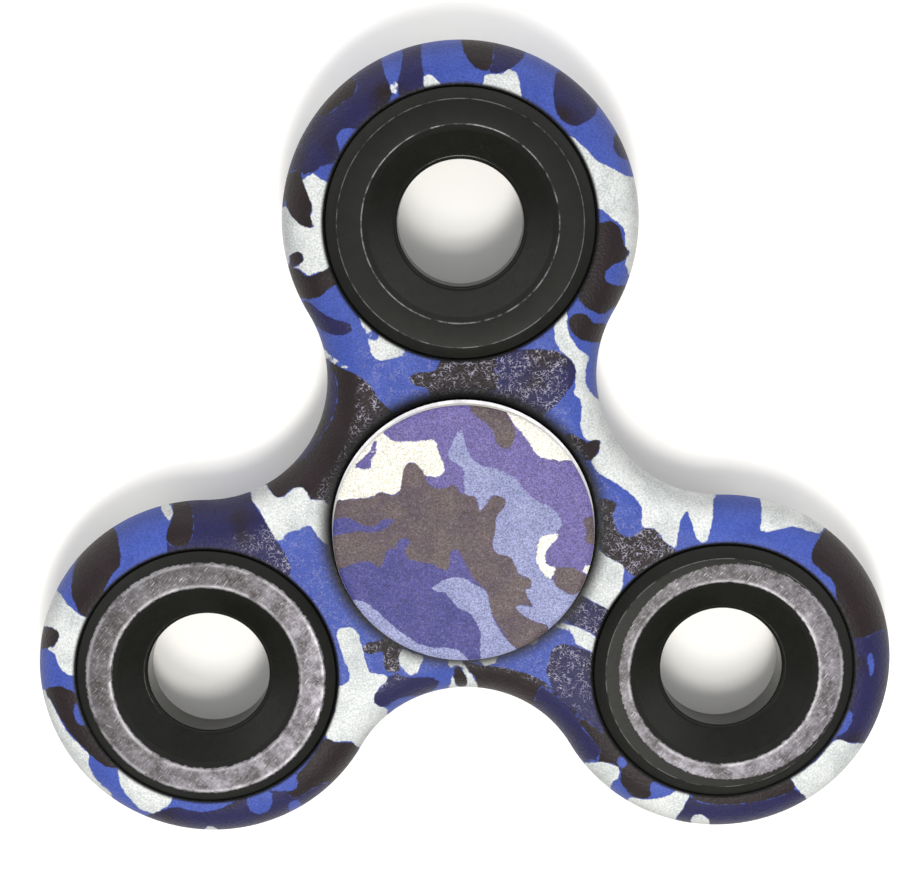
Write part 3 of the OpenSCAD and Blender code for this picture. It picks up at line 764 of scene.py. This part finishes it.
def useGroup(tree, group, **inputs):
    node = tree.nodes.new("ShaderNodeGroup")
    node.node_tree = group
    for key, value in inputs.items():
        socket = node.inputs[key.replace("_", " ")]
        if isinstance(value, bpy.types.NodeSocket):
            tree.links.new(value, socket)
        else:
            socket.default_value = value
    return node


def newMaterial(name, **values):
    material = bpy.data.materials.new(name)
    material.use_nodes = True
    tree = material.node_tree
    surface = tree.nodes["Principled BSDF"]
    for key, value in values.items():
        surface.inputs[key.replace("_", " ")].default_value = value
    return material, tree, surface


def finish(tree, surface, colour, roughness, height, distance, strength=1.0, metallic=None):
    bump = add(tree, "Bump", Height=height, Distance=distance, Strength=strength)
    tree.links.new(colour, surface.inputs["Base Color"])
    tree.links.new(roughness, surface.inputs["Roughness"])
    tree.links.new(bump.outputs[0], surface.inputs["Normal"])
    if metallic is not None:
        tree.links.new(metallic, surface.inputs["Metallic"])


def makeGrain():  # the leathery grain of the mould, with a mask of bright specks where it catches the light, for painted glints
    tree, start, end = newGroup(
        "moulded grain", [("Place", "Vector"), ("Grain", "Float")],
        [("Height", "Float"), ("GlintMask", "Float"), ("Mottle", "Float"), ("Sand", "Float")])
    place = start.outputs["Place"]
    fine = mathOf(tree, "DIVIDE", 1.0, start.outputs["Grain"])
    pebbles = add(tree, "TexVoronoi", {"feature": "SMOOTH_F1"}, Vector=place, Scale=fine, Smoothness=0.6)
    crinkle = add(tree, "TexNoise", Vector=place, Scale=times(tree, fine, 1.7), Detail=3.0)
    height = plus(tree, times(tree, pebbles.outputs["Distance"], 0.7), times(tree, crinkle.outputs[0], 0.8))
    glints = add(tree, "TexNoise", Vector=place, Scale=times(tree, fine, 0.8), Detail=1.5)
    creases = sizeOf(tree, minus(tree, glints.outputs[0], 0.5))
    broken = add(tree, "TexNoise", Vector=place, Scale=times(tree, fine, 0.5), Detail=3.0)
    paintedGlints = times(tree, ramp(tree, creases, 0.05, 0.012), ramp(tree, broken.outputs[0], 0.4, 0.6))
    tree.links.new(height, end.inputs["Height"])
    tree.links.new(paintedGlints, end.inputs["GlintMask"])
    tree.links.new(noise(tree, place, 2.6 * mm, 3.0), end.inputs["Mottle"])
    sand = add(tree, "TexNoise", Vector=place, Scale=times(tree, fine, 1.6), Detail=2.0, Roughness=0.7)
    tree.links.new(ramp(tree, sand.outputs[0], 0.3, 0.7), end.inputs["Sand"])
    return tree


def shadeGrain(tree, skin, strength, colour):  # darkens and lightens a colour with the grain
    tone = mix(tree, skin.outputs["Sand"], paint("4a4a4a"), paint("ffffff"))
    return mix(tree, strength, colour, tone, "OVERLAY")


def makePatches():  # turns the three depths into three masks with slightly uneven edges
    tree, start, end = newGroup(
        "printed patches", [("Place", "Vector"), ("Depths", "Vector")],
        [("First", "Float"), ("Second", "Float"), ("Third", "Float")])
    place = start.outputs["Place"]
    split = add(tree, "SeparateXYZ", Vector=start.outputs["Depths"])
    waver = times(tree, minus(tree, noise(tree, place, 0.5 * mm, 2.0), 0.5), 0.28)
    for socket, title in zip(split.outputs, ("First", "Second", "Third")):
        tree.links.new(ramp(tree, plus(tree, socket, waver), -0.06, 0.06), end.inputs[title])
    return tree


grain = makeGrain()
patches = makePatches()

bodyFinish = {
    "blue": ("34458e", "3a4c96"), "white": ("c1c4c2", "abb0b0"), "brown": ("1b1214", "23191c"),
    "navy": "1c1a42", "shadeBlack": "0b0b0c", "glint": "9a97a8",
    "grain": 0.26 * mm,
    # strength of the painted glints on the dark patches
    "speck": 0.8,
    "sand": 0.26,  # how strongly the grain shades the print
    "edgeShade": 0.34,  # how dark the painted shade over the rounded edge gets
    "mouthShadeWidth": 1.7 * mm,  # how far the painted shade at each bore's mouth reaches out over the print
}


def paintBody():
    material, tree, surface = newMaterial("printed body", Specular_IOR_Level=0.22)
    place = add(tree, "TexCoord").outputs["Object"]
    masks = useGroup(tree, patches, Place=place, Depths=add(
        tree, "Attribute", {"attribute_name": "print"}).outputs["Vector"])
    skin = useGroup(tree, grain, Place=place, Grain=bodyFinish["grain"])
    mottle = skin.outputs["Mottle"]
    tint = {}
    for name, low, high in (("blue", 0.3, 0.7), ("white", 0.35, 0.75), ("brown", 0.4, 0.8)):
        first, second = bodyFinish[name]
        tint[name] = mix(tree, ramp(tree, mottle, low, high), paint(first), paint(second))
    haze = ramp(tree, noise(tree, place, 5 * mm, 2.0), 0.5, 0.72)
    navy = mix(tree, haze, paint(bodyFinish["navy"]), paint(bodyFinish["brown"][0]))
    colour = mix(tree, masks.outputs["Third"], tint["blue"], navy)
    colour = mix(tree, masks.outputs["Second"], colour, tint["brown"])
    colour = mix(tree, masks.outputs["First"], colour, tint["white"])
    colour = shadeGrain(tree, skin, bodyFinish["sand"], colour)
    # painted shade: the print is mixed towards black over the rounded edge, unevenly with the mottle
    spot = add(tree, "SeparateXYZ", Vector=place)
    edgeShade = ramp(tree, sizeOf(tree, spot.outputs[2]), halfBody - 0.15 * mm, halfBody - 1.9 * mm)
    edgeShade = times(tree, edgeShade, ramp(tree, mottle, 0.2, 0.7, 0.8 * bodyFinish["edgeShade"], bodyFinish["edgeShade"]))
    colour = mix(tree, edgeShade, colour, paint(bodyFinish["shadeBlack"]))
    # painted glints: bright grain specks on the flat face, strongest near the bearing, where the key lamp's
    # highlight falls, and stronger on the dark patches
    reach = across(tree, place)
    flat = ramp(tree, sizeOf(tree, spot.outputs[2]), halfBody - 0.12 * mm, halfBody - 0.02 * mm)
    glintArea = times(tree, flat, ramp(tree, reach, 21 * mm, 15 * mm))
    dark = most(tree, masks.outputs["Second"], masks.outputs["Third"])
    glintArea = times(tree, glintArea, ramp(tree, dark, 0, 1, 0.3, bodyFinish["speck"]))
    paintedGlints = times(tree, skin.outputs["GlintMask"], glintArea)
    colour = mix(tree, paintedGlints, colour, paint(bodyFinish["glint"]))
    # painted shade: the print is darkened to black around the bearing's mouth and around each ring weight,
    # where shade falls under the cap and beside the rings
    mouth = ramp(tree, reach, bearingRadius + bodyFinish["mouthShadeWidth"], bearingRadius + 0.25 * mm)
    for centre in lobeCentres:
        away = across(tree, place, centre)
        mouth = most(tree, mouth, ramp(
            tree, away, weightRadius + 0.5 * mm, weightRadius + 0.2 * mm))
    colour = mix(tree, mouth, colour, paint(bodyFinish["shadeBlack"]))
    rough = plus(tree, 0.4, times(tree, skin.outputs["Height"], 0.14))
    finish(tree, surface, colour, rough, skin.outputs["Height"], 0.05 * mm, 1.0)
    return material


capFinish = {
    "purple": "4b447c", "violet": "5e5587", "indigo": "33346c", "glint": "a39fb8",
    "cream": ("d2d0c5", "c8c6ba"), "dark": ("483c42", "554a48"), "pale": ("74799c", "8185a6"),
    "grain": 0.2 * mm,
    "sand": 0.5,  # how strongly the grain shades the print
}


def paintCap():
    material, tree, surface = newMaterial("printed cap", Specular_IOR_Level=0.22)
    place = add(tree, "TexCoord").outputs["Object"]
    masks = useGroup(tree, patches, Place=place, Depths=add(
        tree, "Attribute", {"attribute_name": "print"}).outputs["Vector"])
    skin = useGroup(tree, grain, Place=place, Grain=capFinish["grain"])
    mottle, paintedGlints = skin.outputs["Mottle"], skin.outputs["GlintMask"]
    # bluer towards the lower left, more violet towards the upper right
    lean = vectorOf(tree, "DOT_PRODUCT", place, (0.6, 0.8, 0))
    lean = ramp(tree, lean, -6 * mm, 6 * mm)
    base = mix(tree, lean, paint(capFinish["indigo"]), paint(capFinish["violet"]))
    base = mix(tree, ramp(tree, mottle, 0.3, 0.7, 0, 0.4), base, paint(capFinish["purple"]))
    tone = {}
    for name in ("cream", "dark", "pale"):
        first, second = capFinish[name]
        tone[name] = mix(tree, ramp(tree, mottle, 0.35, 0.7), paint(first), paint(second))
    colour = mix(tree, masks.outputs["Third"], base, tone["pale"])
    colour = mix(tree, masks.outputs["Second"], colour, tone["dark"])
    colour = mix(tree, masks.outputs["First"], colour, tone["cream"])
    # painted glints: bright grain specks mixed into the cap's colour, where the lamp's highlight catches the
    # grain
    colour = mix(tree, times(tree, paintedGlints, 0.14), colour, paint(capFinish["glint"]))
    colour = shadeGrain(tree, skin, capFinish["sand"], colour)
    # the side was never printed
    spot = add(tree, "SeparateXYZ", Vector=place)
    bare = ramp(tree, sizeOf(tree, spot.outputs[2]), capTop - 0.26 * mm, capTop - 0.34 * mm)
    colour = mix(tree, bare, colour, tone["cream"])
    rough = plus(tree, 0.42, times(tree, skin.outputs["Height"], 0.14))
    finish(tree, surface, colour, rough, skin.outputs["Height"], 0.04 * mm, 0.8)
    return material


def makeWear():  # how far a ring's black coat has worn, from its own centre
    tree, start, end = newGroup(
        "ring wear", [("Place", "Vector"), ("Centre", "Vector"), ("Inner", "Float"), ("Outer", "Float"),
                      ("Lean", "Vector"), ("Rim", "Float")],
        [("Bare", "Float"), ("Scratches", "Float"), ("Stain", "Float"), ("Grit", "Float")])
    place = start.outputs["Place"]
    local = vectorOf(tree, "SUBTRACT", place, start.outputs["Centre"])
    flat = vectorOf(tree, "MULTIPLY", local, (1, 1, 0))
    radius = vectorOf(tree, "LENGTH", flat)
    height = sizeOf(tree, add(tree, "SeparateXYZ", Vector=local).outputs[2])
    onLand = ramp(tree, height, weightTop - 0.16 * mm, weightTop - 0.05 * mm)
    jag = times(tree, minus(tree, noise(tree, place, 0.35 * mm, 5.0, 0.65), 0.5), 0.55 * mm)
    lean = vectorOf(tree, "DOT_PRODUCT", flat, start.outputs["Lean"])
    edge = plus(tree, radius, jag)
    inner = minus(tree, edge, start.outputs["Inner"])
    outer = minus(tree, plus(tree, start.outputs["Outer"], lean), edge)
    band = times(tree, ramp(tree, inner, 0.0, 0.09 * mm), ramp(tree, outer, 0.0, 0.09 * mm))
    # bright lines where the two edges of the land have rubbed through
    near = sizeOf(tree, minus(tree, radius, weightShape["land"][0]))
    far = sizeOf(tree, minus(tree, radius, weightShape["land"][1]))
    gaps = ramp(tree, noise(tree, place, 1.6 * mm, 5.0, 0.7), 0.36, 0.56)
    lines = most(tree, ramp(tree, near, 0.08 * mm, 0.02 * mm),
                 times(tree, ramp(tree, far, 0.06 * mm, 0.02 * mm), 0.5))
    lines = times(tree, times(tree, lines, gaps), start.outputs["Rim"])
    bare = mathOf(tree, "MAXIMUM", times(tree, band, onLand), lines, clamp=True)
    # short scratches in three directions, and the two edges rubbed brightest
    rims = most(tree, ramp(tree, near, 0.35 * mm, 0.03 * mm), ramp(tree, far, 0.35 * mm, 0.03 * mm))
    scratch = times(tree, times(tree, rims, gaps), 0.6)
    for turn, width in ((0.6, 0.07 * mm), (-0.9, 0.09 * mm), (2.3, 0.06 * mm)):
        along = add(tree, "VectorRotate", {"rotation_type": "Z_AXIS"}, Vector=local, Angle=turn).outputs[0]
        streaks = noise(tree, vectorOf(tree, "MULTIPLY", along, (0.1, 1, 1)), width, 2.0)
        scratch = most(tree, scratch, ramp(tree, streaks, 0.6, 0.8))
    for title, value in (("Bare", bare), ("Scratches", scratch),
                         ("Stain", ramp(tree, noise(tree, place, 1.5 * mm, 9.0, 0.85), 0.3, 0.7)),
                         ("Grit", noise(tree, place, 0.09 * mm, 3.0))):
        tree.links.new(value, end.inputs[title])
    return tree


wear = makeWear()
# where the bare band on each land starts and ends, which way it widens, and how bright its edges are
weightFinish = {
    "black": ("11120e", "161713"), "steel": "76737a", "stain": "3a3734", "scratch": "a8a6aa",
    "rings": [
        {"inner": 20, "outer": 0, "lean": (0, 0, 0), "rim": 0.75},
        {"inner": 7.9, "outer": 10.2, "lean": (0, 0, 0), "rim": 0.5},
        {"inner": 7.95, "outer": 9.5, "lean": (0.06, 0.01, 0), "rim": 0.6},
    ],
}


def paintWeight(name, centre, ring):
    material, tree, surface = newMaterial(name, Specular_IOR_Level=0.16)
    place = add(tree, "TexCoord").outputs["Object"]
    worn = useGroup(tree, wear, Place=place, Centre=centre, Inner=ring["inner"] * mm,
                    Outer=ring["outer"] * mm, Lean=ring["lean"], Rim=ring["rim"])
    bare, scratches, stain, grit = [worn.outputs[k] for k in range(4)]
    black = mix(tree, ramp(tree, stain, 0, 1), *[paint(tone) for tone in weightFinish["black"]])
    steel = mix(tree, stain, paint(weightFinish["steel"]), paint(weightFinish["stain"]))
    # the bare band is duller towards its upper left
    aside = vectorOf(tree, "DOT_PRODUCT", vectorOf(tree, "SUBTRACT", place, centre), (0.8, -0.6, 0))
    steel = mix(tree, ramp(tree, aside, 8 * mm, -9 * mm, 0, 0.45), steel, paint(weightFinish["stain"]))
    steel = mix(tree, scratches, steel, paint(weightFinish["scratch"]))
    colour = mix(tree, bare, black, steel)
    height = plus(tree, times(tree, grit, 0.6), times(tree, scratches, -0.6))
    reach = across(tree, place, centre)
    dish = ramp(tree, reach, weightShape["land"][0] - 0.4 * mm, weightShape["land"][0] - 0.6 * mm)
    coat = plus(tree, times(tree, grit, 0.12), ramp(tree, dish, 0.0, 1.0, 0.42, 0.14))
    metal = plus(tree, 0.42, times(tree, stain, 0.2))
    rough = plus(tree, times(tree, coat, minus(tree, 1.0, bare)), times(tree, metal, bare))
    finish(tree, surface, colour, rough, height, 0.02 * mm, 0.5, times(tree, bare, 0.85))
    return material


def makeTurnedSteel():  # fine rings left by turning or polishing about the spin axis
    tree, start, end = newGroup(
        "turned steel", [("Place", "Vector"), ("Fine", "Float")],
        [("Shade", "Float"), ("Height", "Float"), ("Smear", "Float")])
    place = start.outputs["Place"]
    radius = across(tree, place)
    rings = add(tree, "CombineXYZ", X=radius, Z=add(tree, "SeparateXYZ", Vector=place).outputs[2])
    fine = mathOf(tree, "DIVIDE", 1.0, start.outputs["Fine"])
    lines = add(tree, "TexNoise", Vector=rings.outputs[0], Scale=fine, Detail=4.0)
    smear = noise(tree, place, 1.4 * mm, 4.0, 0.6)
    tree.links.new(ramp(tree, lines.outputs[0], 0.3, 0.7), end.inputs["Shade"])
    tree.links.new(lines.outputs[0], end.inputs["Height"])
    tree.links.new(ramp(tree, smear, 0.35, 0.7), end.inputs["Smear"])
    return tree


turnedSteel = makeTurnedSteel()
steelFinish = {  # light tone, dark tone, fineness, lowest roughness
    "race steel": ("c9c9cb", "a4a4a7", 0.06 * mm, 0.16),
    "ball steel": ("dcdcde", "c2c2c6", 0.2 * mm, 0.05),
    "cage steel": ("b4b0a8", "8d8a84", 0.12 * mm, 0.3),
    "shield steel": ("bcbcbc", "9a9a9a", 0.08 * mm, 0.26),
    "wire steel": ("a8a8aa", "818184", 0.05 * mm, 0.3),
}
steelNodes = {
    "race steel": ["outer_race", "inner_race"],
    "ball steel": [f"ball_{k}" for k in range(1, 8)],
    "cage steel": ["cage_upper", "cage_lower", "cage_rivets"],
    "shield steel": ["shield_front", "shield_back"],
    "wire steel": ["snap_ring_front", "snap_ring_back"],
}


def paintSteel(name):
    light, dark, fine, least = steelFinish[name]
    material, tree, surface = newMaterial(name, Metallic=1.0)
    place = add(tree, "TexCoord").outputs["Object"]
    skin = useGroup(tree, turnedSteel, Place=place, Fine=fine)
    colour = mix(tree, skin.outputs["Shade"], paint(dark), paint(light))
    colour = mix(tree, times(tree, skin.outputs["Smear"], 0.25), colour, paint("6b6862"))
    rough = plus(tree, least, times(tree, skin.outputs["Smear"], 0.14))
    finish(tree, surface, colour, rough, skin.outputs["Height"], 0.006 * mm, 0.4)
    for node in steelNodes[name]:
        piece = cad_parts[node]
        for slot in piece.material_slots:
            slot.material = material


def wearMaterial(piece, material):
    piece.data.materials.clear()
    piece.data.materials.append(material)


wearMaterial(body, paintBody())
capMaterial = paintCap()
for cap in (frontCap, backCap):
    wearMaterial(cap, capMaterial)
for piece, centre, ring in zip(weights, lobeCentres, weightFinish["rings"]):
    wearMaterial(piece, paintWeight(piece.name + " coat", centre, ring))
for steelName in steelFinish:
    paintSteel(steelName)
print("materials made")


# floor and light

stageSettings = {
    "floor": "fbfaf6",
    "glow": 0.05,  # the board is lit through a little, as on a light table
    "walls": ("f8f5f6", 0.45, 2.7),  # colour, and power in front and behind
    "ceiling": ("eef1f6", 0.75),
    "lamps": [  # name, place and size in millimetres, colour, power in watts
        ("key lamp", (10, -45, 150), 40, "fffdf8", 0.12),
        ("front lamp", (-10, -170, 290), 90, "fdfaf4", 0.47),
    ],
}


def addFloor():
    startFresh()
    bpy.ops.mesh.primitive_plane_add(size=3, location=(0, 0, cadBounds[0][2]))
    floor = bpy.context.active_object
    floor.name = "floor"
    material, tree, surface = newMaterial("matt board", Specular_IOR_Level=0.2,
                                          Emission_Color=paint("fbf6e8"),
                                          Emission_Strength=stageSettings["glow"])
    place = add(tree, "TexCoord").outputs["Object"]
    grit = noise(tree, place, 0.5 * mm, 3.0)
    colour = mix(tree, ramp(tree, noise(tree, place, 60 * mm, 2.0), 0.3, 0.7), paint(stageSettings["floor"]),
                 paint("f7f6f3"))
    finish(tree, surface, colour, plus(tree, 0.6, times(tree, grit, 0.1)), grit, 0.01 * mm, 0.2)
    floor.data.materials.append(material)


def addLamp(name, spot, size, colour, power):  # a square lamp that looks at the spinner
    startFresh()
    place = Vector(spot) * mm
    turn = (-place).to_track_quat("-Z", "Y").to_euler()
    bpy.ops.object.light_add(type="AREA", location=place, rotation=turn)
    lamp = bpy.context.active_object
    lamp.name = name
    lamp.data.size = size * mm
    lamp.data.energy = power
    lamp.data.color = paint(colour)[:3]


def addSky():
    sky = bpy.data.worlds.new("soft room")
    sky.use_nodes = True
    tree = sky.node_tree
    wallColour, frontPower, backPower = stageSettings["walls"]
    topColour, topPower = stageSettings["ceiling"]
    way = add(tree, "SeparateXYZ", Vector=add(tree, "TexCoord").outputs["Generated"]).outputs
    share = ramp(tree, way[2], 0.35, 0.65)
    wallPower = ramp(tree, way[1], -0.5, 0.6, frontPower, backPower)
    ground = tree.nodes["Background"]
    tree.links.new(mix(tree, share, paint(wallColour), paint(topColour)), ground.inputs["Color"])
    tree.links.new(add(tree, "MapRange", Value=share, To_Min=wallPower, To_Max=topPower).outputs[0],
                   ground.inputs["Strength"])
    bpy.context.scene.world = sky
    bpy.context.scene.view_settings.view_transform = "Standard"


addFloor()
for lamp in stageSettings["lamps"]:
    addLamp(*lamp)
addSky()
print("floor and light set")
